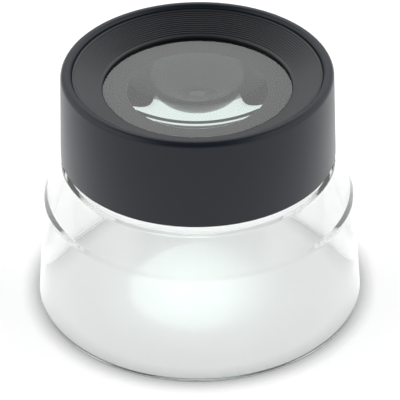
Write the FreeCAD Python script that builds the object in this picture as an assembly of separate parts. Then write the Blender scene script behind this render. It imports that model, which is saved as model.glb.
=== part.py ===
import FreeCAD, Part
import math
import os

# Stand loupe: a clear bell-shaped stand with a black lens head that screws up and down on its neck to focus.
# Millimetres, +Z up, origin at the centre of the foot, on the surface that the stand rests on.
# Radii grow outwards from the lenses, and heights grow upwards from the foot.

V = FreeCAD.Vector

# Clearances shared by neighbouring pieces.
seat_clearance = 0.05
running_clearance = 0.05
moving_clearance = 0.3

# Lens pair: plano-convex lenses with flat flanges and with their curved zones towards each other.
lens_radius = 18.9
lens_zone_radius = 13.2
upper_sphere_radius = 24.0
lower_sphere_radius = 72.0
lens_flange = 1.1
lens_bevel = 0.2
lens_gap = 7.0

# Lens cell.
cell_wall = 1.9
cell_lip = 0.8
cell_foot_wall = 1.2
cell_foot_height = 1.6
cell_flange = 1.24
cell_flange_reach = 2.3
cell_land_height = 3.4
cell_edge_round = 0.27

# Friction ring in the cell's outer groove, rubbing in the neck's bore.
friction_section = 1.45
neck_gap = 2.0

# Neck of the stand, with a two-start thread.
neck_wall = 1.4
neck_lip = 0.54
neck_band_step = 0.13
neck_band_cover = 0.9
thread_starts = 2
thread_pitch = 1.8
thread_depth = 0.5
thread_root_width = 0.86
thread_crest_width = 0.5
thread_root_gap = 0.2
thread_sink = 0.22
housing_thread_turns = 0.475

# Focusing travel of the lens head, from the place where it is shown.
focus_down = 1.8
focus_up = 1.8
lowest_gap = 0.36

# Stop ring clipped on the neck above the thread.
stop_thickness = 0.9
stop_groove_depth = 0.45
stop_split = 5.4

# Lens housing.
housing_wall = 0.92
housing_draft = 0.65
housing_web = 1.0
housing_lip = 2.04
housing_edge_round = 1.0
housing_lip_round = 0.7
housing_rim_round = 0.22

# Soft gasket on the upper lens.
gasket_thickness = 0.3
gasket_width = 0.9
gasket_inset = 0.1

# Grooved ring above the upper lens.
eye_opening_inset = 1.17
eye_wall = 0.3
cone_drop = 2.73
ring_recess = 0.72
ring_rim = 0.27
ring_rim_chamfer = 0.09
eye_edge_round = 0.3
groove_count = 12
groove_depth = 0.15
groove_margin = 0.32
snap_bead = 0.11
snap_bead_width = 0.72

# Clear stand below the neck.
ledge_width = 1.13
ledge_round = 0.36
shoulder_flare = 3.69
shoulder_round = 2.25
cone_rise = 7.47
foot_flare = 1.8
shoulder_height = 21.87
stand_wall = 1.8
foot_wall = 1.66
foot_round = 0.36
inner_round = 0.45
inner_cone_lead = 0.72


def corner_point(start, corner, end, radius):
    """Points where a rounded corner starts, bends and ends: two tangent points and the middle of the arc."""
    towards_start = (start - corner).normalize()
    towards_end = (end - corner).normalize()
    half_angle = towards_start.getAngle(towards_end) / 2
    reach = radius / math.tan(half_angle)
    bisector = (towards_start + towards_end).normalize()
    centre = corner + bisector * (radius / math.sin(half_angle))
    return corner + towards_start * reach, centre - bisector * radius, corner + towards_end * reach


def outline_face(corners):
    """Closed face in the XZ plane from (radius, height) or (radius, height, rounding) corners."""
    points = [V(corner[0], 0, corner[1]) for corner in corners]
    rounds = [corner[2] if len(corner) > 2 else 0 for corner in corners]
    edges = []
    first = None
    last = None
    for index, point in enumerate(points):
        before = points[index - 1]
        after = points[(index + 1) % len(points)]
        if rounds[index] > 0:
            arc_start, arc_middle, arc_end = corner_point(before, point, after, rounds[index])
        else:
            arc_start, arc_middle, arc_end = point, None, point
        if last is not None:
            edges.append(Part.makeLine(last, arc_start))
        if arc_middle is not None:
            edges.append(Part.Arc(arc_start, arc_middle, arc_end).toShape())
        if first is None:
            first = arc_start
        last = arc_end
    edges.append(Part.makeLine(last, first))
    return Part.Face(Part.Wire(edges))


def turned(corners, angle=360):
    """Solid of revolution about Z from an outline."""
    return outline_face(corners).revolve(V(0, 0, 0), V(0, 0, 1), angle)


def save(node, shape):
    """Write one sub-part and report its bounds."""
    solids = shape.Solids
    if not shape.isValid() or not solids:
        raise ValueError(node + " is not a valid solid")
    shape = solids[0] if len(solids) == 1 else Part.makeCompound(solids)
    shape.exportStep("parts/" + node + ".step")
    box = shape.BoundBox
    print(node, len(solids), "z", round(box.ZMin, 2), round(box.ZMax, 2), "r", round(box.XMax, 2))


def sphere_rise(sphere_radius, radius):
    """Height of a sphere's surface above its centre at a distance from the axis."""
    return math.sqrt(sphere_radius ** 2 - radius ** 2)


def lens_thickness(sphere_radius):
    """Thickness of a lens on the axis: its flange and the rise of its curved zone."""
    return lens_flange + sphere_radius - sphere_rise(sphere_radius, lens_zone_radius)


# Height of the lens stack on the axis.
stack_height = lens_thickness(upper_sphere_radius) + lens_gap + lens_thickness(lower_sphere_radius)

# Radii, from the lenses outwards.
cell_bore = lens_radius + seat_clearance
cell_radius = cell_bore + cell_wall
cell_foot_radius = cell_bore + cell_foot_wall
cell_lip_radius = lens_zone_radius
eye_opening = lens_radius - eye_opening_inset
cell_flange_radius = cell_radius + cell_flange_reach
spacer_bore = lens_zone_radius + seat_clearance
neck_bore = cell_radius + neck_gap
cell_land_radius = neck_bore - moving_clearance
friction_outer = neck_bore - running_clearance
friction_groove = friction_outer - friction_section - running_clearance
neck_root = neck_bore + neck_wall
neck_crest = neck_root + thread_depth
neck_band = neck_crest + neck_band_step
stop_groove = neck_root - stop_groove_depth
housing_crest = neck_root + thread_root_gap
housing_bore = neck_band + moving_clearance
stop_radius = housing_bore - moving_clearance
housing_radius = housing_bore + housing_wall
housing_top_radius = housing_radius - housing_draft
ring_seat = housing_top_radius - housing_lip
ring_radius = ring_seat - seat_clearance
ledge_radius = neck_band + ledge_width
shoulder_radius = ledge_radius + shoulder_flare
foot_radius = shoulder_radius + foot_flare

# Heights, from the foot upwards.
thread_lead = thread_starts * thread_pitch
ledge_height = shoulder_height + cone_rise
housing_bottom = ledge_height + lowest_gap + focus_down
band_top = housing_bottom + neck_band_cover
housing_thread_low = band_top + focus_down + moving_clearance
housing_thread_start = housing_thread_low + thread_root_width / 2
housing_thread_rise = housing_thread_turns * thread_lead
housing_thread_high = housing_thread_start + housing_thread_rise + thread_root_width / 2
neck_thread_start = housing_thread_start - thread_pitch - thread_pitch / 2
neck_thread_rise = housing_thread_high + focus_up - thread_root_width / 2 - neck_thread_start
stop_low = housing_thread_high + focus_up + moving_clearance
stop_high = stop_low + stop_thickness
friction_height = (band_top + stop_low) / 2
neck_top = stop_high + seat_clearance + neck_lip
web_low = neck_top + focus_down + moving_clearance
web_high = web_low + housing_web
eye_face = web_high + cell_flange
gasket_top = eye_face + gasket_thickness
cone_low = gasket_top + eye_wall
cone_high = cone_low + cone_drop
housing_top = cone_high + ring_recess
lower_face = eye_face - stack_height
cell_bottom = lower_face - cell_lip


def helical_ribs(root, crest, first_centre, rise):
    """Thread ribs, one per start: from a root radius to a crest radius, climbing from a first height."""
    sink = thread_sink if crest > root else -thread_sink
    flank = (thread_root_width - thread_crest_width) / 2 / abs(crest - root)
    half_crest = thread_crest_width / 2
    half_sunk = thread_root_width / 2 + flank * thread_sink
    corners = [V(root - sink, 0, -half_sunk), V(crest, 0, -half_crest)]
    corners += [V(crest, 0, half_crest), V(root - sink, 0, half_sunk)]
    profile = Part.makePolygon(corners + [corners[0]])
    path = Part.Wire(Part.makeHelix(thread_lead, rise, root).Edges)
    rib = path.makePipeShell([profile], True, True)
    ribs = []
    for start in range(thread_starts):
        turned_rib = rib.copy()
        turned_rib.rotate(V(0, 0, 0), V(0, 0, 1), start * 360 / thread_starts)
        turned_rib.translate(V(0, 0, first_centre))
        ribs.append(turned_rib)
    return ribs


def clear_stand():
    """Foot, flared wall, shoulder cone, ledge and threaded neck, open at the bottom and through the neck."""
    inner_shoulder = shoulder_radius - stand_wall
    corners = [
        (foot_radius, 0, foot_round),
        (shoulder_radius, shoulder_height, shoulder_round),
        (ledge_radius, ledge_height, ledge_round),
        (neck_band, ledge_height),
        (neck_band, band_top),
        (neck_root, band_top),
        (neck_root, stop_low - seat_clearance),
        (stop_groove, stop_low - seat_clearance),
        (stop_groove, stop_high + seat_clearance),
        (neck_root, stop_high + seat_clearance),
        (neck_root, neck_top),
        (neck_bore, neck_top),
        (neck_bore, ledge_height + inner_cone_lead),
        (inner_shoulder, shoulder_height, inner_round),
        (foot_radius - foot_wall, 0),
    ]
    ribs = helical_ribs(neck_root, neck_crest, neck_thread_start, neck_thread_rise)
    return turned(corners).fuse(ribs)


def stop_ring():
    """Split ring that sits in the neck's top groove."""
    inner = stop_groove + seat_clearance
    split_angle = math.degrees(stop_split / stop_radius)
    corners = [(inner, stop_low), (stop_radius, stop_low), (stop_radius, stop_high), (inner, stop_high)]
    ring = turned(corners, 360 - split_angle)
    ring.rotate(V(0, 0, 0), V(0, 0, 1), 90 + split_angle / 2)
    return ring


def friction_ring():
    """Rubber ring carried up and down by the lens cell."""
    ring = Part.makeTorus(friction_outer - friction_section / 2, friction_section / 2)
    ring.translate(V(0, 0, friction_height))
    return ring


def lens_housing():
    """Black sleeve: a threaded skirt below, an internal web, and a seat with a lip above."""
    bead_middle = (eye_face + cone_high) / 2
    bead_seat = ring_seat + snap_bead
    corners = [
        (housing_radius, housing_bottom, housing_rim_round),
        (housing_top_radius, housing_top, housing_edge_round),
        (ring_seat, housing_top, housing_lip_round),
        (ring_seat, bead_middle + snap_bead_width / 2),
        (bead_seat, bead_middle),
        (ring_seat, bead_middle - snap_bead_width / 2),
        (ring_seat, web_high),
        (cell_radius + seat_clearance, web_high),
        (cell_radius + seat_clearance, web_low),
        (housing_bore, web_low),
        (housing_bore, housing_bottom, housing_rim_round),
    ]
    ribs = helical_ribs(housing_bore, housing_crest, housing_thread_start, housing_thread_rise)
    return turned(corners).fuse(ribs)


def lens_cell():
    """Tube with a lip under the lower lens, a grooved land for the friction ring and a top flange."""
    land_low = friction_height - cell_land_height / 2
    land_high = friction_height + cell_land_height / 2
    groove_half = friction_section / 2 + running_clearance
    foot_top = cell_bottom + cell_foot_height
    corners = [
        (cell_lip_radius, cell_bottom),
        (cell_foot_radius, cell_bottom, cell_edge_round),
        (cell_foot_radius, foot_top),
        (cell_radius, foot_top + cell_wall - cell_foot_wall),
        (cell_radius, land_low),
        (cell_land_radius, land_low, cell_edge_round),
        (cell_land_radius, friction_height - groove_half),
        (friction_groove, friction_height - groove_half),
        (friction_groove, friction_height + groove_half),
        (cell_land_radius, friction_height + groove_half),
        (cell_land_radius, land_high, cell_edge_round),
        (cell_radius, land_high),
        (cell_radius, web_high),
        (cell_flange_radius, web_high),
        (cell_flange_radius, eye_face),
        (cell_bore, eye_face),
        (cell_bore, lower_face),
        (cell_lip_radius, lower_face),
    ]
    return turned(corners)


def plano_convex_lens(sphere_radius):
    """Lens with its flat face at height zero and its curved zone up, inside a flat flange."""
    thickness = lens_thickness(sphere_radius)
    centre = thickness - sphere_radius
    middle_radius = lens_zone_radius / 2
    middle = V(middle_radius, 0, centre + sphere_rise(sphere_radius, middle_radius))
    base_edge = V(lens_radius - lens_bevel, 0, 0)
    bevel_edge = V(lens_radius, 0, lens_bevel)
    rim = V(lens_radius, 0, lens_flange)
    zone_edge = V(lens_zone_radius, 0, lens_flange)
    top = V(0, 0, thickness)
    edges = [
        Part.makeLine(V(0, 0, 0), base_edge),
        Part.makeLine(base_edge, bevel_edge),
        Part.makeLine(bevel_edge, rim),
        Part.makeLine(rim, zone_edge),
        Part.Arc(zone_edge, middle, top).toShape(),
        Part.makeLine(top, V(0, 0, 0)),
    ]
    return Part.Face(Part.Wire(edges)).revolve(V(0, 0, 0), V(0, 0, 1), 360)


def lower_lens():
    """Lower lens, flat face down on the cell's lip."""
    lens = plano_convex_lens(lower_sphere_radius)
    lens.translate(V(0, 0, lower_face))
    return lens


def upper_lens():
    """Upper lens, flat face up, level with the cell's flange."""
    lens = plano_convex_lens(upper_sphere_radius)
    lens.rotate(V(0, 0, 0), V(1, 0, 0), 180)
    lens.translate(V(0, 0, eye_face))
    return lens


def lens_spacer():
    """Thick tube between the two flanges, with a bore as wide as the curved zones."""
    low = lower_face + lens_flange + seat_clearance
    high = eye_face - lens_flange - seat_clearance
    corners = [(spacer_bore, low), (lens_radius, low), (lens_radius, high), (spacer_bore, high)]
    return turned(corners)


def lens_gasket():
    """Soft flat ring on the upper lens's rim."""
    inner = eye_opening + gasket_inset
    outer = inner + gasket_width
    corners = [(inner, eye_face), (outer, eye_face), (outer, gasket_top), (inner, gasket_top)]
    return turned(corners)


def grooved_ring():
    """Conical ring with concentric saw-tooth grooves, snapped into the housing above the upper lens."""
    bead_middle = (eye_face + cone_high) / 2
    gasket_step = eye_opening + gasket_inset + gasket_width + seat_clearance
    cone_outer = ring_radius - ring_rim
    slope_length = math.hypot(cone_outer - eye_opening, cone_drop)
    along = V(eye_opening - cone_outer, 0, -cone_drop) / slope_length
    into = V(-along.z, 0, along.x)
    grooved_length = slope_length - 2 * groove_margin
    groove_step = grooved_length / groove_count
    corners = [
        (gasket_step, eye_face),
        (ring_radius, eye_face),
        (ring_radius, bead_middle - snap_bead_width / 2),
        (ring_radius + snap_bead, bead_middle),
        (ring_radius, bead_middle + snap_bead_width / 2),
        (ring_radius, cone_high, ring_rim_chamfer),
        (cone_outer, cone_high),
    ]
    for groove in range(groove_count):
        crest = V(cone_outer, 0, cone_high) + along * (groove_margin + groove * groove_step)
        valley = crest + into * groove_depth
        corners.append((crest.x, crest.z))
        corners.append((valley.x, valley.z))
    end = V(cone_outer, 0, cone_high) + along * (groove_margin + grooved_length)
    corners += [
        (end.x, end.z),
        (eye_opening, cone_low, eye_edge_round),
        (eye_opening, gasket_top),
        (gasket_step, gasket_top),
    ]
    return turned(corners)


os.makedirs("parts", exist_ok=True)
save("clear_stand", clear_stand())
save("stop_ring", stop_ring())
save("friction_ring", friction_ring())
save("lens_housing", lens_housing())
save("lens_cell", lens_cell())
save("lower_lens", lower_lens())
save("lens_spacer", lens_spacer())
save("upper_lens", upper_lens())
save("lens_gasket", lens_gasket())
save("grooved_ring", grooved_ring())
print("height", round(housing_top, 2), "foot radius", round(foot_radius, 2), "lead", thread_lead)
print("lower lens face", round(lower_face, 2), "upper lens face", round(eye_face, 2))
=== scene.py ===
"""Stand loupe: a clear bell-shaped stand with a black lens head that screws up and down on its neck.

Every piece is a turned mesh, built in metres in the frame of the packed model, and rides on a body of it.
"""

import math

import bpy
import numpy as np
from bpy.props import FloatProperty, FloatVectorProperty, IntProperty, PointerProperty
from mathutils import Matrix, Vector


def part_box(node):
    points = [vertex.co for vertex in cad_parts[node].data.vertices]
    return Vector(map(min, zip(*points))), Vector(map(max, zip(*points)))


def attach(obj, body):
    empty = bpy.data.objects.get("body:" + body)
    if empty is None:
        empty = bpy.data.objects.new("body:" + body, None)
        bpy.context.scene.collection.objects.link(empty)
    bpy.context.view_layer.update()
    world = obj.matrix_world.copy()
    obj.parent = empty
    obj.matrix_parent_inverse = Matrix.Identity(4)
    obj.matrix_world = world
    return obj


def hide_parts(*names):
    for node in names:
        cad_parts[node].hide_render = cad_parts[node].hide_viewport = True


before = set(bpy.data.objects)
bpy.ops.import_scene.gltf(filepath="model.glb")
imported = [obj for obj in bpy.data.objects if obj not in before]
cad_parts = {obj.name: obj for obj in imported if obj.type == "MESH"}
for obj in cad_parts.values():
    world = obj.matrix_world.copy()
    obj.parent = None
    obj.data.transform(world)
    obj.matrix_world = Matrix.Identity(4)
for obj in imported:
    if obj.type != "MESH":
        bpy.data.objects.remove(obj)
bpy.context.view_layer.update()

bl_info = {
    "name": "Stand Loupe",
    "version": (1, 0, 0),
    "blender": (4, 5, 0),
    "location": "3D View > Sidebar > Loupe",
    "description": "Builds a clear stand loupe with a black focusing head and a pair of lenses",
    "category": "Object",
}

MM = 0.001
FULL_TURN = 2 * math.pi
# An outline that turns more than this at a point has a sharp edge there.
SHARP_TURN = math.radians(24)
# Lengths and turns shorter than these count as nothing.
NO_LENGTH = 1e-7
NO_TURN = 1e-9
# The spacer's top reaches this far up, a hair into the upper lens's flange, as black paint on the glass does.
BLACKING = 0.07 * MM
# Roundings of the small rings' edges, and mesh rows in small roundings and in a round section.
STOP_EDGE = 0.1 * MM
GASKET_EDGE = 0.08 * MM
EDGE_STEPS = 3
FINE_EDGE_STEPS = 2
SECTION_STEPS = 28

# Surfaces: depth of the moulded grain, spread of the shine, and spread of the clear pieces' tint.
GRAIN_DEPTH = 0.02 * MM
SHINE_SPREAD = 0.12
TINT_SPREAD = 0.004
# The painted glow, an emission that stands in for light bounced in from the white surroundings, shows where a
# ray has bounced more often than this, and never after a diffuse bounce.
PAINTED_GLOW_DEPTH = 5.5
NO_BOUNCE = 0.5

# Corners of the packed nodes at rest: lowest and highest.
STAND_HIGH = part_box("clear_stand")[1]
HOUSING_LOW, HOUSING_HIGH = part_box("lens_housing")
CELL_LOW, CELL_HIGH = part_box("lens_cell")
RING_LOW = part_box("grooved_ring")[0]
UPPER_LOW, UPPER_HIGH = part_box("upper_lens")
LOWER_LOW, LOWER_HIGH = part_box("lower_lens")
SPACER_LOW, SPACER_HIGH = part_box("lens_spacer")
GASKET_LOW, GASKET_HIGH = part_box("lens_gasket")
STOP_LOW, STOP_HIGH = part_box("stop_ring")
FRICTION_LOW, FRICTION_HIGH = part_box("friction_ring")


def length(name, description, default):
    """A length that a user may change, in metres."""
    return FloatProperty(
        name=name, description=description, default=default, min=0.0, precision=5, unit="LENGTH"
    )


def colour(name, description, default):
    """A colour that a user may change."""
    return FloatVectorProperty(
        name=name, description=description, default=default, min=0.0, max=1.0, size=3, subtype="COLOR"
    )


def share(name, description, default, high=1.0):
    """A plain number without a unit."""
    return FloatProperty(name=name, description=description, default=default, min=0.0, max=high)


class StandSizes(bpy.types.PropertyGroup):
    """Outline of the clear stand."""

    foot_radius: length("Foot radius", "Outer radius where the wall meets the foot", 31.5 * MM)
    foot_wall: length("Foot wall", "Width of the flat ring that the stand rests on", 1.66 * MM)
    foot_round: length("Foot round", "Rounding of the foot's outer edge", 0.36 * MM)
    shoulder_radius: length("Shoulder radius", "Outer radius of the shoulder's corner", 29.7 * MM)
    shoulder_height: length("Shoulder height", "Height of the shoulder's corner", 21.87 * MM)
    shoulder_round: length("Shoulder round", "Rounding of the shoulder outside", 2.25 * MM)
    stand_wall: length("Wall", "Wall at the shoulder", 1.8 * MM)
    inner_round: length("Inner round", "Rounding of the hollow's corner", 0.45 * MM)
    ledge_radius: length("Ledge radius", "Outer radius of the ledge under the head", 26.01 * MM)
    ledge_height: length("Ledge height", "Height of the ledge's flat", 29.34 * MM)
    ledge_round: length("Ledge round", "Rounding of the ledge's edge", 0.36 * MM)
    band_radius: length("Band radius", "Radius of the plain band under the thread", 24.88 * MM)
    band_top: length("Band top", "Height of the plain band's top", 32.4 * MM)
    neck_root: length("Neck root", "Radius of the neck between the thread's ribs", 24.25 * MM)
    neck_bore: length("Neck bore", "Radius of the neck's bore", 22.85 * MM)
    cone_top: length("Hollow cone top", "Height where the hollow's cone meets the bore", 30.06 * MM)
    groove_radius: length("Groove radius", "Radius at the bottom of the stop ring's groove", 23.8 * MM)
    groove_play: length("Groove play", "Room above and below the stop ring", 0.05 * MM)
    thread_first: length("Thread start", "Height of the rib's centre where it starts", 32.23 * MM)
    thread_last: length("Thread end", "Height of the rib's centre where it ends", 38.44 * MM)


class ThreadSizes(bpy.types.PropertyGroup):
    """Focusing thread, on the neck and in the housing."""

    lead: length("Lead", "Rise of one rib in one turn", 3.6 * MM)
    starts: IntProperty(name="Starts", description="Number of ribs", default=2, min=1)
    depth: length("Depth", "Height of a rib above its root", 0.5 * MM)
    crest_width: length("Crest width", "Width of a rib's crest", 0.5 * MM)
    root_width: length("Root width", "Width of a rib at its root", 0.86 * MM)
    step: length("Mesh step", "Spacing of the mesh rows on a thread", 0.09 * MM)
    housing_depth: length("Housing rib depth", "Height of a rib in the housing", 0.73 * MM)
    housing_first: length("Housing thread start", "Height of the housing rib's start", 34.93 * MM)
    housing_last: length("Housing thread end", "Height of the housing rib's end", 36.64 * MM)


class HeadSizes(bpy.types.PropertyGroup):
    """Black lens head: housing, lens cell and grooved ring."""

    draft: length("Draft", "How much narrower the housing is at its top", 0.65 * MM)
    bore: length("Bore", "Radius of the housing's bore", 25.18 * MM)
    web_low: length("Web underside", "Height of the web's underside", 42.76 * MM)
    web_high: length("Web top", "Height of the web's top", 43.76 * MM)
    web_bore: length("Web bore", "Radius of the hole in the web", 20.9 * MM)
    seat_radius: length("Seat radius", "Radius of the grooved ring's seat", 23.41 * MM)
    rim_round: length("Rim round", "Rounding of the lower rim", 0.22 * MM)
    lip_round: length("Lip round", "Rounding of the lip outside", 1.0 * MM)
    seat_round: length("Seat round", "Rounding of the lip inside", 0.7 * MM)
    bead: length("Bead", "Height of the snap bead", 0.11 * MM)
    bead_width: length("Bead width", "Width of the snap bead", 0.72 * MM)
    rim_flat: length("Ring rim", "Width of the grooved ring's flat rim", 0.27 * MM)
    ring_radius: length("Ring radius", "Outer radius of the grooved ring without its bead", 23.36 * MM)
    eye_opening: length("Eye opening", "Radius of the opening over the lens", 17.73 * MM)
    cone_low: length("Cone foot", "Height where the cone meets the opening", 45.6 * MM)
    eye_round: length("Eye edge round", "Rounding where the cone meets the opening", 0.3 * MM)
    cone_high: length("Cone top", "Height of the grooved ring's rim", 48.33 * MM)
    grooves: IntProperty(name="Grooves", description="Number of grooves", default=12, min=1)
    groove_depth: length("Groove depth", "Depth of a groove", 0.15 * MM)
    groove_margin: length("Groove margin", "Plain width at each end of the cone", 0.32 * MM)
    edge_round: length("Cell edge round", "Rounding of the cell's edges", 0.27 * MM)
    cell_bore: length("Cell bore", "Radius of the lens cell's bore", 18.95 * MM)
    cell_radius: length("Cell radius", "Outer radius of the lens cell", 20.85 * MM)
    cell_foot_radius: length("Cell foot radius", "Outer radius of the cell's foot", 20.15 * MM)
    cell_foot_height: length("Cell foot height", "Height of the cell's foot", 1.6 * MM)
    cell_lip_radius: length("Cell lip radius", "Radius of the opening under the lenses", 13.2 * MM)
    land_radius: length("Land radius", "Radius of the land that holds the friction ring", 22.55 * MM)
    land_height: length("Land height", "Height of the land", 3.4 * MM)
    land_groove: length("Land groove", "Radius at the bottom of the land's groove", 21.3 * MM)
    groove_play: length("Groove play", "Room above and below the friction ring", 0.05 * MM)


class LensSizes(bpy.types.PropertyGroup):
    """The pair of plano-convex lenses."""

    radius: length("Lens radius", "Outer radius of a lens", 18.9 * MM)
    zone: length("Zone radius", "Outer radius of the curved zone", 13.2 * MM)
    upper_sphere: length("Upper sphere", "Radius of the upper lens's curved zone", 24.0 * MM)
    lower_sphere: length("Lower sphere", "Radius of the lower lens's curved zone", 72.0 * MM)
    bevel: length("Bevel", "Bevel of the flat face's edge", 0.2 * MM)


class MeshSettings(bpy.types.PropertyGroup):
    """Fineness of the turned meshes."""

    segments: IntProperty(name="Segments", description="Mesh columns in one turn", default=288, min=24)
    round_steps: IntProperty(name="Round steps", description="Mesh rows in a rounding", default=5, min=1)
    lens_steps: IntProperty(name="Lens steps", description="Mesh rows in a curved face", default=56, min=4)


class FinishSettings(bpy.types.PropertyGroup):
    """Colours and shine of the object's materials."""

    shell: colour("Shell", "Satin black of the housing", (0.0040, 0.0072, 0.0135))
    shell_gloss: share("Shell roughness", "Roughness of the housing", 0.36)
    ring: colour("Grooved ring", "Matte black of the grooved ring", (0.011, 0.0125, 0.0165))
    inner: colour("Inner black", "Matte black of the lens cell", (0.006, 0.006, 0.0065))
    rubber: colour("Rubber", "Black of the rubber rings", (0.014, 0.014, 0.014))
    acetal: colour("Stop ring", "Natural white of the stop ring", (0.72, 0.72, 0.69))
    acrylic: colour("Acrylic", "Tint of the clear stand at each surface", (0.955, 0.968, 0.963))
    acrylic_index: share("Acrylic index", "Refractive index of the stand", 1.49, 3.0)
    glass: colour("Glass", "Tint of the lenses at each surface", (0.78, 0.90, 0.86))
    glass_index: share("Glass index", "Refractive index of the lenses", 1.517, 3.0)


class StageSettings(bpy.types.PropertyGroup):
    """Camera, floor and light."""

    distance: length("Camera distance", "From the camera to the point that it looks at", 472.5 * MM)
    aim_height: length("Aim height", "Height of the point that the camera looks at", 18.9 * MM)
    elevation: FloatProperty(
        name="Elevation", description="Camera angle above the horizon", default=0.6095, subtype="ANGLE"
    )
    roll: FloatProperty(name="Roll", description="Camera roll", default=-0.0126, subtype="ANGLE")
    focal_length: share("Focal length", "Camera focal length in millimetres", 220.59, 500.0)
    shift_x: FloatProperty(name="Shift X", description="Sideways shift of the frame", default=0.00287)
    shift_y: FloatProperty(name="Shift Y", description="Upward shift of the frame", default=0.00581)
    floor_radius: length("Floor radius", "Radius of the white floor", 2.5)
    floor: colour("Floor", "Colour of the floor", (0.80, 0.80, 0.80))


# Outlines. A point is (radius, height, rib), where rib is None or adds to the radius by angle and height.


def arc_points(before, corner, after, radius, steps):
    """Points of the arc that rounds a corner."""
    to_before = (before - corner).normalized()
    to_after = (after - corner).normalized()
    half = to_before.angle(to_after) / 2
    reach = radius / math.tan(half)
    centre = corner + (to_before + to_after).normalized() * (radius / math.sin(half))
    start = corner + to_before * reach - centre
    end = corner + to_after * reach - centre
    sweep = math.pi - 2 * half
    points = []
    for step in range(steps + 1):
        turn = step / steps
        mix = start * math.sin((1 - turn) * sweep) + end * math.sin(turn * sweep)
        points.append(centre + mix / math.sin(sweep))
    return points


def rounded(corners, steps):
    """Outline points from (radius, height) and (radius, height, rounding) corners."""
    points = []
    for index, corner in enumerate(corners):
        here = Vector(corner[:2])
        if len(corner) < 3:
            points.append((here.x, here.y, None))
            continue
        before = Vector(corners[index - 1][:2])
        after = Vector(corners[(index + 1) % len(corners)][:2])
        points += [(p.x, p.y, None) for p in arc_points(before, here, after, corner[2], steps)]
    return points


def thread_rows(radius, first, last, low, high, thread, depth):
    """Rows of a threaded stretch from one height to another, climbing or falling."""
    pitch = thread.lead / thread.starts
    half_crest = thread.crest_width / 2
    flank = (thread.root_width - thread.crest_width) / 2

    def rib(angles, height):
        offset = np.zeros_like(angles)
        for start in range(thread.starts):
            turned = np.mod(angles - start * FULL_TURN / thread.starts, FULL_TURN)
            for turn in range(-1, int((last - first) / thread.lead) + 2):
                centre = first + thread.lead * (turned / FULL_TURN + turn)
                away = np.abs(height - centre)
                rise = np.clip(1 - (away - half_crest) / flank, 0, 1)
                inside = np.clip(1 - np.maximum(first - centre, centre - last) / (pitch / 4), 0, 1)
                offset = np.maximum(offset, rise * inside)
        return depth * offset

    rows = max(2, round(abs(high - low) / thread.step))
    heights = [low + (high - low) * row / rows for row in range(rows + 1)]
    return [(radius, height, rib) for height in heights]


def turn_angle(before, here, after):
    """How much an outline turns at a point."""
    first = Vector(here[:2]) - Vector(before[:2])
    second = Vector(after[:2]) - Vector(here[:2])
    if first.length < NO_LENGTH or second.length < NO_LENGTH:
        return 0.0
    return first.angle(second)


def turned_piece(name, outline, segments, sweep=FULL_TURN, start=0.0, closed=True):
    """Object turned about Z from an outline, with smooth faces and sharp outline corners."""
    area = sum(a[0] * b[1] - b[0] * a[1] for a, b in zip(outline, outline[1:] + outline[:1]))
    if area < 0:
        outline = outline[::-1]
    whole = abs(sweep - FULL_TURN) < NO_TURN
    columns = segments if whole else segments + 1
    angles = start + sweep * np.arange(columns) / segments
    vertices = []
    rows = []
    for radius, height, rib in outline:
        if radius < NO_LENGTH:
            rows.append([len(vertices)] * columns)
            vertices.append((0.0, 0.0, height))
            continue
        radii = np.full(columns, radius) if rib is None else radius + rib(angles, height)
        rows.append(list(range(len(vertices), len(vertices) + columns)))
        vertices += list(zip(radii * np.cos(angles), radii * np.sin(angles), np.full(columns, height)))
    faces = []
    count = len(outline)
    for row in range(count if closed else count - 1):
        low, high = rows[row], rows[(row + 1) % count]
        if low[0] == low[-1] and high[0] == high[-1]:
            continue
        for column in range(segments):
            after = (column + 1) % columns
            ring = [low[column], low[after], high[after], high[column]]
            faces.append([v for i, v in enumerate(ring) if v != ring[i - 1]])
    if not whole:
        faces.append([row[0] for row in rows])
        faces.append([row[-1] for row in rows][::-1])
    mesh = bpy.data.meshes.new(name)
    mesh.from_pydata([tuple(map(float, v)) for v in vertices], [], faces)
    mesh.polygons.foreach_set("use_smooth", [True] * len(mesh.polygons))
    sharp_rows = set()
    for index, point in enumerate(outline):
        turn = turn_angle(outline[index - 1], point, outline[(index + 1) % count])
        if point[2] is None and turn > SHARP_TURN:
            sharp_rows.add(index)
    row_of = {}
    for index, row in enumerate(rows):
        if index in sharp_rows:
            row_of.update({vertex: index for vertex in row})
    for edge in mesh.edges:
        first, second = (row_of.get(v) for v in edge.vertices)
        edge.use_edge_sharp = first is not None and first == second
    mesh.validate()
    mesh.update()
    old = bpy.data.objects.get(name)
    if old is not None:
        bpy.data.objects.remove(old)
    piece = bpy.data.objects.new(name, mesh)
    bpy.context.scene.collection.objects.link(piece)
    return piece


def fit_piece(piece, body, node, material):
    """Gives a piece its material in a slot of its own and its body, and hides the node that it stands for."""
    piece.data.materials.append(material)
    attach(piece, body)
    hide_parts(node)


# Shader groups and materials.


def new_group(name, inputs, outputs):
    """Empty shader group with named float inputs and outputs, or None if it is there already."""
    if name in bpy.data.node_groups:
        return None
    group = bpy.data.node_groups.new(name, "ShaderNodeTree")
    for socket, default in inputs:
        made = group.interface.new_socket(socket, in_out="INPUT", socket_type="NodeSocketFloat")
        made.default_value = default
    for socket in outputs:
        group.interface.new_socket(socket, in_out="OUTPUT", socket_type="NodeSocketFloat")
    return group


def maths(tree, operation, first, second):
    """Math node of two inputs, each a socket or a number."""
    node = tree.nodes.new("ShaderNodeMath")
    node.operation = operation
    for slot, value in zip(node.inputs, (first, second)):
        if isinstance(value, (int, float)):
            slot.default_value = value
        else:
            tree.links.new(value, slot)
    return node.outputs[0]


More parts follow.
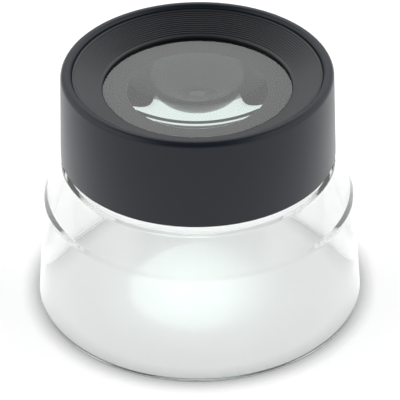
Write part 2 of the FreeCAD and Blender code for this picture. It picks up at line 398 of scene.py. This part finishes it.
def moulded_grain():
    """Group: fine grain of moulded plastic as a height, with slow cloudiness as a mask."""
    name = "Moulded grain"
    group = new_group(name, [("Grain", 4000.0), ("Cloud", 90.0)], ["Height", "Cloudiness"])
    if group is None:
        return bpy.data.node_groups[name]
    inputs = group.nodes.new("NodeGroupInput")
    outputs = group.nodes.new("NodeGroupOutput")
    place = group.nodes.new("ShaderNodeTexCoord")
    grain = group.nodes.new("ShaderNodeTexNoise")
    grain.inputs["Detail"].default_value = 3.0
    cloud = group.nodes.new("ShaderNodeTexNoise")
    cloud.inputs["Detail"].default_value = 4.0
    cloud.inputs["Roughness"].default_value = 0.6
    for node, socket in ((grain, "Grain"), (cloud, "Cloud")):
        group.links.new(place.outputs["Object"], node.inputs["Vector"])
        group.links.new(inputs.outputs[socket], node.inputs["Scale"])
    group.links.new(grain.outputs["Fac"], outputs.inputs["Height"])
    group.links.new(cloud.outputs["Fac"], outputs.inputs["Cloudiness"])
    return group


def new_material(name):
    """Empty node material, with its tree, its Principled node and its output node."""
    old = bpy.data.materials.get(name)
    if old is not None:
        bpy.data.materials.remove(old)
    material = bpy.data.materials.new(name)
    material.use_nodes = True
    tree = material.node_tree
    tree.nodes.clear()
    shader = tree.nodes.new("ShaderNodeBsdfPrincipled")
    output = tree.nodes.new("ShaderNodeOutputMaterial")
    tree.links.new(shader.outputs["BSDF"], output.inputs["Surface"])
    return material, tree, shader, output


def spread_colour(tree, shader, mask, colour_value, spread):
    """Base colour that varies a little by a mask."""
    mix = tree.nodes.new("ShaderNodeMix")
    mix.data_type = "RGBA"
    mix.clamp_result = True
    low = [max(0.0, c * (1 - spread)) for c in colour_value]
    high = [min(1.0, c * (1 + spread)) for c in colour_value]
    mix.inputs["A"].default_value = (*low, 1.0)
    mix.inputs["B"].default_value = (*high, 1.0)
    tree.links.new(mask, mix.inputs["Factor"])
    tree.links.new(mix.outputs["Result"], shader.inputs["Base Color"])


def grain_bump(tree, shader, height, strength, distance):
    """Bump node on the shader's normal."""
    bump = tree.nodes.new("ShaderNodeBump")
    bump.inputs["Strength"].default_value = strength
    bump.inputs["Distance"].default_value = distance
    tree.links.new(height, bump.inputs["Height"])
    tree.links.new(bump.outputs["Normal"], shader.inputs["Normal"])


def moulded(name, colour_value, roughness, grain, cloud, spread, bump, specular=0.5):
    """Moulded or rubber surface: grain, cloudiness in colour and in shine."""
    material, tree, shader, _ = new_material(name)
    shader.inputs["Specular IOR Level"].default_value = specular
    group = tree.nodes.new("ShaderNodeGroup")
    group.node_tree = moulded_grain()
    group.inputs["Grain"].default_value = grain
    group.inputs["Cloud"].default_value = cloud
    spread_colour(tree, shader, group.outputs["Cloudiness"], colour_value, spread)
    varied = maths(tree, "MULTIPLY", group.outputs["Cloudiness"], SHINE_SPREAD)
    tree.links.new(maths(tree, "ADD", varied, roughness - SHINE_SPREAD / 2), shader.inputs["Roughness"])
    grain_bump(tree, shader, group.outputs["Height"], bump, GRAIN_DEPTH)
    return material


def clear(name, tint, index, ripple, ripple_depth, painted_glow, specular):
    """Clear plastic or glass with a faint ripple, which lets lamp light through, and a painted glow, an
    emission that stands in for light from the white surroundings, where rays have bounced deep inside.
    """
    material, tree, shader, output = new_material(name)
    group = tree.nodes.new("ShaderNodeGroup")
    group.node_tree = moulded_grain()
    group.inputs["Grain"].default_value = ripple
    group.inputs["Cloud"].default_value = ripple / 2
    spread_colour(tree, shader, group.outputs["Cloudiness"], tint, TINT_SPREAD)
    shader.inputs["Roughness"].default_value = 0.0
    shader.inputs["IOR"].default_value = index
    shader.inputs["Transmission Weight"].default_value = 1.0
    grain_bump(tree, shader, group.outputs["Height"], 1.0, ripple_depth)
    path = tree.nodes.new("ShaderNodeLightPath")
    # Painted glow: emission that lights the piece where a camera ray has bounced many times inside it, in
    # place of light from the white surroundings.
    deep = maths(tree, "GREATER_THAN", path.outputs["Ray Depth"], PAINTED_GLOW_DEPTH)
    straight = maths(tree, "LESS_THAN", path.outputs["Diffuse Depth"], NO_BOUNCE)
    tree.links.new(maths(tree, "MULTIPLY", deep, straight), shader.inputs["Emission Color"])
    shader.inputs["Emission Strength"].default_value = painted_glow
    shader.inputs["Specular IOR Level"].default_value = specular
    through = tree.nodes.new("ShaderNodeBsdfTransparent")
    through.inputs["Color"].default_value = (*[math.sqrt(c) for c in tint], 1.0)
    mix = tree.nodes.new("ShaderNodeMixShader")
    tree.links.new(path.outputs["Is Shadow Ray"], mix.inputs["Fac"])
    tree.links.new(shader.outputs["BSDF"], mix.inputs[1])
    tree.links.new(through.outputs["BSDF"], mix.inputs[2])
    tree.links.new(mix.outputs["Shader"], output.inputs["Surface"])
    return material


# Outlines of the pieces.


def stand_outline(stand, thread, steps):
    """Foot, flared wall, shoulder, ledge, threaded neck and hollow."""
    slot_low = STOP_LOW.z - stand.groove_play
    slot_high = STOP_HIGH.z + stand.groove_play
    top = STAND_HIGH.z
    soft = stand.foot_round / 2
    outside = rounded(
        [
            (stand.foot_radius - stand.foot_wall, 0.0, soft / 2),
            (stand.foot_radius, 0.0, stand.foot_round),
            (stand.shoulder_radius, stand.shoulder_height, stand.shoulder_round),
            (stand.ledge_radius, stand.ledge_height, stand.ledge_round),
            (stand.band_radius, stand.ledge_height, soft / 2),
            (stand.band_radius, stand.band_top, soft / 2),
            (stand.neck_root, stand.band_top),
            (stand.neck_root, slot_low),
            (stand.groove_radius, slot_low),
            (stand.groove_radius, slot_high),
            (stand.neck_root, slot_high),
            (stand.neck_root, top, soft / 2),
            (stand.neck_bore, top, soft / 2),
            (stand.neck_bore, stand.cone_top, stand.inner_round),
            (stand.shoulder_radius - stand.stand_wall, stand.shoulder_height, stand.inner_round),
        ],
        steps,
    )
    # The thread takes the place of the two points at the ends of the plain root.
    root = next(i for i, p in enumerate(outside) if abs(p[0] - stand.neck_root) < NO_LENGTH)
    ribbed = thread_rows(
        stand.neck_root,
        stand.thread_first,
        stand.thread_last,
        stand.band_top,
        slot_low,
        thread,
        thread.depth,
    )
    return outside[:root] + ribbed + outside[root + 2 :]


def housing_outline(head, thread, steps):
    """Outer wall, lip, seat with its snap groove, web and threaded bore."""
    low = HOUSING_LOW.z
    top = HOUSING_HIGH.z
    outer = HOUSING_HIGH.x
    middle = (RING_LOW.z + head.cone_high) / 2
    plain = rounded(
        [
            (outer, low, head.rim_round),
            (outer - head.draft, top, head.lip_round),
            (head.seat_radius, top, head.seat_round),
            (head.seat_radius, middle + head.bead_width / 2),
            (head.seat_radius + head.bead, middle),
            (head.seat_radius, middle - head.bead_width / 2),
            (head.seat_radius, head.web_high),
            (head.web_bore, head.web_high),
            (head.web_bore, head.web_low),
            (head.bore, head.web_low),
            (head.bore, low, head.rim_round),
        ],
        steps,
    )
    # The thread runs from the web's underside to the rounding of the lower rim.
    corner = next(i for i, p in enumerate(plain) if p[1] == plain[-steps - 2][1])
    ribbed = thread_rows(
        head.bore,
        thread.housing_first,
        thread.housing_last,
        head.web_low,
        low + 2 * head.rim_round,
        thread,
        -thread.housing_depth,
    )
    return plain[: corner + 1] + ribbed + plain[-steps - 1 :]


def cell_outline(head, steps):
    """Lip, foot, land with the friction ring's groove, flange and bore."""
    low = CELL_LOW.z
    top = CELL_HIGH.z
    seat = LOWER_LOW.z
    middle = (FRICTION_LOW.z + FRICTION_HIGH.z) / 2
    groove = FRICTION_HIGH.z - middle + head.groove_play
    foot_top = low + head.cell_foot_height
    return rounded(
        [
            (head.cell_lip_radius, low),
            (head.cell_foot_radius, low, head.edge_round),
            (head.cell_foot_radius, foot_top),
            (head.cell_radius, foot_top + head.cell_radius - head.cell_foot_radius),
            (head.cell_radius, middle - head.land_height / 2),
            (head.land_radius, middle - head.land_height / 2, head.edge_round),
            (head.land_radius, middle - groove),
            (head.land_groove, middle - groove),
            (head.land_groove, middle + groove),
            (head.land_radius, middle + groove),
            (head.land_radius, middle + head.land_height / 2, head.edge_round),
            (head.cell_radius, middle + head.land_height / 2),
            (head.cell_radius, head.web_high),
            (CELL_HIGH.x, head.web_high),
            (CELL_HIGH.x, top),
            (head.cell_bore, top),
            (head.cell_bore, seat),
            (head.cell_lip_radius, seat),
        ],
        steps,
    )


def ring_outline(head, steps):
    """Grooved cone above the lens, its rim and its snap bead."""
    middle = (RING_LOW.z + head.cone_high) / 2
    low = RING_LOW.z
    step_radius = GASKET_HIGH.x + head.groove_play
    outer = Vector((head.ring_radius - head.rim_flat, head.cone_high))
    inner = Vector((head.eye_opening, head.cone_low))
    along = (inner - outer).normalized()
    into = Vector((-along.y, along.x))
    reach = (inner - outer).length - 2 * head.groove_margin
    corners = [
        (step_radius, low),
        (head.ring_radius, low),
        (head.ring_radius, middle - head.bead_width / 2),
        (head.ring_radius + head.bead, middle),
        (head.ring_radius, middle + head.bead_width / 2),
        (head.ring_radius, head.cone_high, head.rim_flat / 3),
        tuple(outer),
    ]
    for groove in range(head.grooves):
        crest = outer + along * (head.groove_margin + groove * reach / head.grooves)
        corners += [tuple(crest), tuple(crest + into * head.groove_depth)]
    corners += [
        tuple(inner - along * head.groove_margin),
        (head.eye_opening, head.cone_low, head.eye_round),
        (head.eye_opening, GASKET_HIGH.z),
        (step_radius, GASKET_HIGH.z),
    ]
    return rounded(corners, steps)


def lens_outline(lens, sphere, flat, curved, steps):
    """Plano-convex lens with a flange, from its flat face's height to its curved zone's top or bottom."""
    up = 1 if curved > flat else -1
    centre = curved - up * sphere
    edge = math.asin(lens.zone / sphere)
    flange = centre + up * sphere * math.cos(edge)
    points = [(0.0, flat, None), (lens.radius - lens.bevel, flat, None)]
    points += [(lens.radius, flat + up * lens.bevel, None), (lens.radius, flange, None)]
    for step in range(steps + 1):
        angle = edge * (1 - step / steps)
        points.append((sphere * math.sin(angle), centre + up * sphere * math.cos(angle), None))
    return points


def circle_outline(centre_radius, centre_height, section, steps):
    """Round section of a rubber ring."""
    points = []
    for step in range(steps):
        angle = FULL_TURN * step / steps
        radius = centre_radius + section * math.cos(angle)
        points.append((radius, centre_height + section * math.sin(angle), None))
    return points


def plain_ring(low, high, inner, outer, edge, steps):
    """Rectangular ring with small rounded edges."""
    corners = [(inner, low, edge), (outer, low, edge), (outer, high, edge), (inner, high, edge)]
    return rounded(corners, steps)


def inner_radius(node):
    """Smallest distance of a node's mesh from the axis."""
    return min(math.hypot(v.co.x, v.co.y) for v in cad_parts[node].data.vertices)


# Operators.


class LOUPE_OT_stand(bpy.types.Operator):
    """Build the clear stand with its threaded neck"""

    bl_idname = "loupe.stand"
    bl_label = "Clear Stand"

    def execute(self, context):
        scene = context.scene
        outline = stand_outline(scene.loupe_stand, scene.loupe_thread, scene.loupe_mesh.round_steps)
        piece = turned_piece("stand_bell", outline, scene.loupe_mesh.segments)
        finish = scene.loupe_finish
        material = clear(
            "Clear acrylic",
            finish.acrylic,
            finish.acrylic_index,
            ripple=60.0,
            ripple_depth=0.004 * MM,
            painted_glow=0.15,
            specular=0.2,
        )
        fit_piece(piece, "stand", "clear_stand", material)
        return {"FINISHED"}


class LOUPE_OT_stop_ring(bpy.types.Operator):
    """Build the split ring that stops the head at the top of the neck"""

    bl_idname = "loupe.stop_ring"
    bl_label = "Stop Ring"

    def execute(self, context):
        scene = context.scene
        inner = inner_radius("stop_ring")
        corners = [v.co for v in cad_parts["stop_ring"].data.vertices]
        outer = max(math.hypot(co.x, co.y) for co in corners)
        half_split = min(abs(math.atan2(co.x, co.y)) for co in corners)
        outline = plain_ring(STOP_LOW.z, STOP_HIGH.z, inner, outer, STOP_EDGE, EDGE_STEPS)
        piece = turned_piece(
            "stop_clip",
            outline,
            scene.loupe_mesh.segments,
            FULL_TURN - 2 * half_split,
            math.pi / 2 + half_split,
        )
        material = moulded(
            "Natural acetal",
            scene.loupe_finish.acetal,
            roughness=0.4,
            grain=2500.0,
            cloud=120.0,
            spread=0.04,
            bump=0.1,
        )
        fit_piece(piece, "stand", "stop_ring", material)
        return {"FINISHED"}


class LOUPE_OT_housing(bpy.types.Operator):
    """Build the black housing with its lip, web and inner thread"""

    bl_idname = "loupe.housing"
    bl_label = "Lens Housing"

    def execute(self, context):
        scene = context.scene
        finish = scene.loupe_finish
        outline = housing_outline(scene.loupe_head, scene.loupe_thread, scene.loupe_mesh.round_steps)
        piece = turned_piece("housing_shell", outline, scene.loupe_mesh.segments)
        material = moulded(
            "Satin black shell",
            finish.shell,
            roughness=finish.shell_gloss,
            grain=3500.0,
            cloud=60.0,
            spread=0.18,
            bump=0.25,
            specular=0.28,
        )
        fit_piece(piece, "lens_head", "lens_housing", material)
        return {"FINISHED"}


class LOUPE_OT_grooved_ring(bpy.types.Operator):
    """Build the conical ring with concentric grooves over the lens"""

    bl_idname = "loupe.grooved_ring"
    bl_label = "Grooved Ring"

    def execute(self, context):
        scene = context.scene
        outline = ring_outline(scene.loupe_head, FINE_EDGE_STEPS)
        piece = turned_piece("eye_cone", outline, scene.loupe_mesh.segments)
        material = moulded(
            "Grooved black",
            scene.loupe_finish.ring,
            roughness=0.42,
            grain=3000.0,
            cloud=80.0,
            spread=0.2,
            bump=0.3,
        )
        fit_piece(piece, "lens_head", "grooved_ring", material)
        return {"FINISHED"}


class LOUPE_OT_cell(bpy.types.Operator):
    """Build the lens cell and the spacer between the lenses"""

    bl_idname = "loupe.cell"
    bl_label = "Lens Cell and Spacer"

    def execute(self, context):
        scene = context.scene
        material = moulded(
            "Inner black",
            scene.loupe_finish.inner,
            roughness=0.55,
            grain=3000.0,
            cloud=90.0,
            spread=0.2,
            bump=0.3,
        )
        outline = cell_outline(scene.loupe_head, EDGE_STEPS)
        cell = turned_piece("cell_tube", outline, scene.loupe_mesh.segments)
        fit_piece(cell, "lens_head", "lens_cell", material)
        inner = inner_radius("lens_spacer")
        top = SPACER_HIGH.z + BLACKING
        outer = SPACER_HIGH.x
        outline = rounded([(inner, SPACER_LOW.z), (outer, SPACER_LOW.z), (outer, top), (inner, top)], 1)
        spacer = turned_piece("spacer_tube", outline, scene.loupe_mesh.segments)
        fit_piece(spacer, "lens_head", "lens_spacer", material)
        return {"FINISHED"}


class LOUPE_OT_rubber(bpy.types.Operator):
    """Build the friction ring and the gasket on the upper lens"""

    bl_idname = "loupe.rubber"
    bl_label = "Rubber Rings"

    def execute(self, context):
        scene = context.scene
        material = moulded(
            "Black rubber",
            scene.loupe_finish.rubber,
            roughness=0.6,
            grain=2500.0,
            cloud=150.0,
            spread=0.15,
            bump=0.3,
        )
        section = (FRICTION_HIGH.z - FRICTION_LOW.z) / 2
        middle = (FRICTION_HIGH.z + FRICTION_LOW.z) / 2
        outline = circle_outline(FRICTION_HIGH.x - section, middle, section, SECTION_STEPS)
        friction = turned_piece("friction_band", outline, scene.loupe_mesh.segments)
        fit_piece(friction, "friction_carriage", "friction_ring", material)
        inner = inner_radius("lens_gasket")
        outer = GASKET_HIGH.x
        outline = plain_ring(GASKET_LOW.z, GASKET_HIGH.z, inner, outer, GASKET_EDGE, FINE_EDGE_STEPS)
        gasket = turned_piece("lens_seal", outline, scene.loupe_mesh.segments)
        fit_piece(gasket, "lens_head", "lens_gasket", material)
        return {"FINISHED"}


class LOUPE_OT_lenses(bpy.types.Operator):
    """Build the two plano-convex lenses"""

    bl_idname = "loupe.lenses"
    bl_label = "Lenses"

    def execute(self, context):
        scene = context.scene
        finish = scene.loupe_finish
        steps = scene.loupe_mesh.lens_steps
        material = clear(
            "Lens glass",
            finish.glass,
            finish.glass_index,
            ripple=40.0,
            ripple_depth=0.0002 * MM,
            painted_glow=0.0,
            specular=0.2,
        )
        lens = scene.loupe_lens
        upper = lens_outline(lens, lens.upper_sphere, UPPER_HIGH.z, UPPER_LOW.z, steps)
        piece = turned_piece("upper_glass", upper, scene.loupe_mesh.segments)
        fit_piece(piece, "lens_head", "upper_lens", material)
        lower = lens_outline(lens, lens.lower_sphere, LOWER_LOW.z, LOWER_HIGH.z, steps)
        piece = turned_piece("lower_glass", lower, scene.loupe_mesh.segments)
        fit_piece(piece, "lens_head", "lower_lens", material)
        return {"FINISHED"}


def window(tree, value, middle, half_width, soft):
    """Mask that is 1 where a value lies within a half width of a middle, with soft edges."""
    away = maths(tree, "ABSOLUTE", maths(tree, "SUBTRACT", value, middle), 0.0)
    edge = tree.nodes.new("ShaderNodeMapRange")
    edge.interpolation_type = "SMOOTHSTEP"
    edge.inputs["From Min"].default_value = half_width + soft
    edge.inputs["From Max"].default_value = half_width - soft
    tree.links.new(away, edge.inputs["Value"])
    return edge.outputs["Result"]


def white_for_eye(tree, shader, painted_contact_shade):
    """Adds light to a shader where the camera sees it straight, in a gloss or through a clear piece, dimmed
    by a painted contact shadow.
    """
    path = tree.nodes.new("ShaderNodeLightPath")
    first = maths(tree, "MULTIPLY", path.outputs["Is Camera Ray"], FLOOR_STRAIGHT)
    second = maths(tree, "MULTIPLY", path.outputs["Is Transmission Ray"], FLOOR_THROUGH)
    mirrored = maths(tree, "SUBTRACT", path.outputs["Is Glossy Ray"], path.outputs["Is Transmission Ray"])
    third = maths(tree, "MULTIPLY", maths(tree, "MAXIMUM", mirrored, 0.0), FLOOR_IN_GLOSS)
    sum_of_all = maths(tree, "ADD", maths(tree, "ADD", first, second), third)
    emission = tree.nodes.new("ShaderNodeEmission")
    tree.links.new(maths(tree, "MULTIPLY", sum_of_all, painted_contact_shade), emission.inputs["Strength"])
    both = tree.nodes.new("ShaderNodeAddShader")
    tree.links.new(shader.outputs[0], both.inputs[0])
    tree.links.new(emission.outputs["Emission"], both.inputs[1])
    return both.outputs["Shader"]


# Floor: how far it lies under the foot, mesh columns, scale of its clouds and what they add to its colour,
# roughness and shine.
FLOOR_DROP = 0.02 * MM
FLOOR_SEGMENTS = 96
FLOOR_CLOUD_SIZE = 30.0
FLOOR_CLOUD = 0.008
FLOOR_ROUGHNESS = 0.9
FLOOR_SPECULAR = 0.1
# Light that the floor adds where the camera sees it straight, through a clear piece or in a gloss.
FLOOR_STRAIGHT = 0.34
FLOOR_THROUGH = 0.16
FLOOR_IN_GLOSS = 0.75
# Painted contact shadow on the floor, from ambient occlusion that darkens its colour and its added light: its
# reach, samples, and power for the camera's rays and for all others.
CONTACT_REACH = 4.0 * MM
CONTACT_SAMPLES = 8
CONTACT_POWER = 1.15
CONTACT_INSIDE = 0.35
# Beam through the lenses: watts, colour, spread, softness of its rim, radius of its lamp and place.
BEAM_POWER = 1.4
BEAM_COLOUR = (1.0, 0.9, 0.93)
BEAM_SPREAD = math.radians(5.4)
BEAM_BLEND = 0.8
BEAM_LAMP = 8 * MM
BEAM_PLACE = (-6 * MM, 0.0, 450 * MM)
# Camera: sensor width in millimetres, nearest and farthest distance that it sees in metres.
SENSOR_WIDTH = 36.0
NEAREST = 0.01
FARTHEST = 20.0
# World: light of the dim room, and strength of the white that is seen through clear pieces.
ROOM_LIGHT = 0.12
WORLD_THROUGH = 0.88
WHITE = (1.0, 1.0, 1.0, 1.0)
# Soft boxes of the studio in radians: turn from straight behind, half width, height, half height, softness
# of the edges, strength.
SOFT_BOXES = (
    (0.0, 0.85, 0.62, 0.22, 0.06, 1.9),
    (1.571, 0.72, 0.62, 0.45, 0.20, 1.9),
    (0.0, 3.2, 0.05, 0.22, 0.12, 0.85),
)


class LOUPE_OT_stage(bpy.types.Operator):
    """Build the white floor, the beam, the world and the camera"""

    bl_idname = "loupe.stage"
    bl_label = "Stage"

    def execute(self, context):
        scene = context.scene
        stage = scene.loupe_stage
        self.add_floor(stage)
        self.add_beam()
        self.add_world(scene)
        self.add_camera(scene, stage)
        scene.view_settings.view_transform = "Standard"
        return {"FINISHED"}

    def add_floor(self, stage):
        """White floor, a hair under the foot, with a painted contact shadow around it."""
        outline = [(0.0, -FLOOR_DROP, None), (stage.floor_radius, -FLOOR_DROP, None)]
        floor = turned_piece("floor", outline, FLOOR_SEGMENTS, closed=False)
        for polygon in floor.data.polygons:
            if polygon.normal.z < 0:
                polygon.flip()
        material, tree, shader, output = new_material("White floor")
        shader.inputs["Roughness"].default_value = FLOOR_ROUGHNESS
        shader.inputs["Specular IOR Level"].default_value = FLOOR_SPECULAR
        group = tree.nodes.new("ShaderNodeGroup")
        group.node_tree = moulded_grain()
        group.inputs["Cloud"].default_value = FLOOR_CLOUD_SIZE
        painted_contact_shade = tree.nodes.new("ShaderNodeAmbientOcclusion")
        painted_contact_shade.samples = CONTACT_SAMPLES
        painted_contact_shade.inputs["Distance"].default_value = CONTACT_REACH
        speckle = maths(tree, "MULTIPLY_ADD", group.outputs["Cloudiness"], FLOOR_CLOUD)
        speckle.node.inputs[2].default_value = stage.floor[0]
        seen = tree.nodes.new("ShaderNodeLightPath").outputs["Is Camera Ray"]
        extra = maths(tree, "MULTIPLY", seen, CONTACT_POWER - CONTACT_INSIDE)
        power = maths(tree, "ADD", extra, CONTACT_INSIDE)
        # Painted contact shadow: ambient occlusion darkens the floor's colour and its added light near the
        # foot, most for the camera's rays.
        painted_shade_factor = maths(tree, "POWER", painted_contact_shade.outputs["AO"], power)
        tree.links.new(maths(tree, "MULTIPLY", speckle, painted_shade_factor), shader.inputs["Base Color"])
        tree.links.new(white_for_eye(tree, shader, painted_shade_factor), output.inputs["Surface"])
        floor.data.materials.append(material)

    def add_beam(self):
        """Narrow beam straight down through the lenses, which brightens the floor under them."""
        data = bpy.data.lights.new("beam", "SPOT")
        data.energy = BEAM_POWER
        data.color = BEAM_COLOUR
        data.spot_size = BEAM_SPREAD
        data.spot_blend = BEAM_BLEND
        data.shadow_soft_size = BEAM_LAMP
        beam = bpy.data.objects.new("beam", data)
        beam.location = BEAM_PLACE
        bpy.context.scene.collection.objects.link(beam)

    def add_world(self, scene):
        """White for the camera, and for all other rays soft boxes behind, left and right in a dim room."""
        world = bpy.data.worlds.new("Studio")
        scene.world = world
        world.use_nodes = True
        tree = world.node_tree
        tree.nodes.clear()
        place = tree.nodes.new("ShaderNodeTexCoord")
        split = tree.nodes.new("ShaderNodeSeparateXYZ")
        tree.links.new(place.outputs["Generated"], split.inputs["Vector"])
        around = maths(tree, "ABSOLUTE", maths(tree, "ARCTAN2", split.outputs["X"], split.outputs["Y"]), 0.0)
        above = maths(tree, "ARCSINE", split.outputs["Z"], 0.0)
        light = ROOM_LIGHT
        for turn, half_turn, rise, half_rise, soft, strength in SOFT_BOXES:
            beside = window(tree, around, turn, half_turn, soft)
            level = window(tree, above, rise, half_rise, soft)
            box = maths(tree, "MULTIPLY", maths(tree, "MULTIPLY", beside, level), strength)
            light = maths(tree, "ADD", light, box)
        studio = tree.nodes.new("ShaderNodeBackground")
        studio.inputs["Color"].default_value = WHITE
        path = tree.nodes.new("ShaderNodeLightPath")
        clear_path = maths(tree, "SUBTRACT", 1.0, path.outputs["Is Transmission Ray"])
        dimmed = maths(tree, "MULTIPLY", light, clear_path)
        beyond = maths(tree, "MULTIPLY", path.outputs["Is Transmission Ray"], WORLD_THROUGH)
        tree.links.new(maths(tree, "ADD", dimmed, beyond), studio.inputs["Strength"])
        white = tree.nodes.new("ShaderNodeBackground")
        white.inputs["Color"].default_value = WHITE
        mix = tree.nodes.new("ShaderNodeMixShader")
        tree.links.new(path.outputs["Is Camera Ray"], mix.inputs["Fac"])
        tree.links.new(studio.outputs["Background"], mix.inputs[1])
        tree.links.new(white.outputs["Background"], mix.inputs[2])
        output = tree.nodes.new("ShaderNodeOutputWorld")
        tree.links.new(mix.outputs["Shader"], output.inputs["Surface"])

    def add_camera(self, scene, stage):
        """Camera at the photograph's angle."""
        rise = math.sin(stage.elevation)
        run = math.cos(stage.elevation)
        place = Vector((0.0, -stage.distance * run, stage.aim_height + stage.distance * rise))
        forward = Vector((0.0, run, -rise))
        right = Vector((1.0, 0.0, 0.0))
        up = right.cross(forward)
        rolled_right = math.cos(stage.roll) * right + math.sin(stage.roll) * up
        rolled_up = -math.sin(stage.roll) * right + math.cos(stage.roll) * up
        turn = Matrix((rolled_right, rolled_up, -forward)).transposed()
        data = bpy.data.cameras.new("camera")
        data.sensor_width = SENSOR_WIDTH
        data.lens = stage.focal_length
        data.shift_x = stage.shift_x
        data.shift_y = stage.shift_y
        data.clip_start = NEAREST
        data.clip_end = FARTHEST
        camera = bpy.data.objects.new("camera", data)
        camera.matrix_world = Matrix.Translation(place) @ turn.to_4x4()
        scene.collection.objects.link(camera)
        scene.camera = camera


class LOUPE_PT_panel(bpy.types.Panel):
    """Lists the sizes, the colours and the building steps"""

    bl_idname = "LOUPE_PT_panel"
    bl_label = "Stand Loupe"
    bl_space_type = "VIEW_3D"
    bl_region_type = "UI"
    bl_category = "Loupe"

    def draw(self, context):
        layout = self.layout
        for operator in OPERATORS:
            layout.operator(operator.bl_idname)
        for name, group in GROUPS.items():
            box = layout.box()
            box.label(text=group.__doc__)
            for prop in group.__annotations__:
                box.prop(getattr(context.scene, name), prop)


GROUPS = {
    "loupe_stand": StandSizes,
    "loupe_thread": ThreadSizes,
    "loupe_head": HeadSizes,
    "loupe_lens": LensSizes,
    "loupe_mesh": MeshSettings,
    "loupe_finish": FinishSettings,
    "loupe_stage": StageSettings,
}
OPERATORS = (
    LOUPE_OT_stand,
    LOUPE_OT_stop_ring,
    LOUPE_OT_housing,
    LOUPE_OT_grooved_ring,
    LOUPE_OT_cell,
    LOUPE_OT_rubber,
    LOUPE_OT_lenses,
    LOUPE_OT_stage,
)


def register():
    for name, group in GROUPS.items():
        bpy.utils.register_class(group)
        setattr(bpy.types.Scene, name, PointerProperty(type=group))
    for operator in OPERATORS:
        bpy.utils.register_class(operator)
    bpy.utils.register_class(LOUPE_PT_panel)


def unregister():
    bpy.utils.unregister_class(LOUPE_PT_panel)
    for operator in reversed(OPERATORS):
        bpy.utils.unregister_class(operator)
    for name, group in reversed(GROUPS.items()):
        delattr(bpy.types.Scene, name)
        bpy.utils.unregister_class(group)


def main():
    """Build every piece and the stage."""
    register()
    bpy.ops.loupe.stand()
    bpy.ops.loupe.stop_ring()
    bpy.ops.loupe.housing()
    bpy.ops.loupe.grooved_ring()
    bpy.ops.loupe.cell()
    bpy.ops.loupe.rubber()
    bpy.ops.loupe.lenses()
    bpy.ops.loupe.stage()


if __name__ == "__main__":
    main()
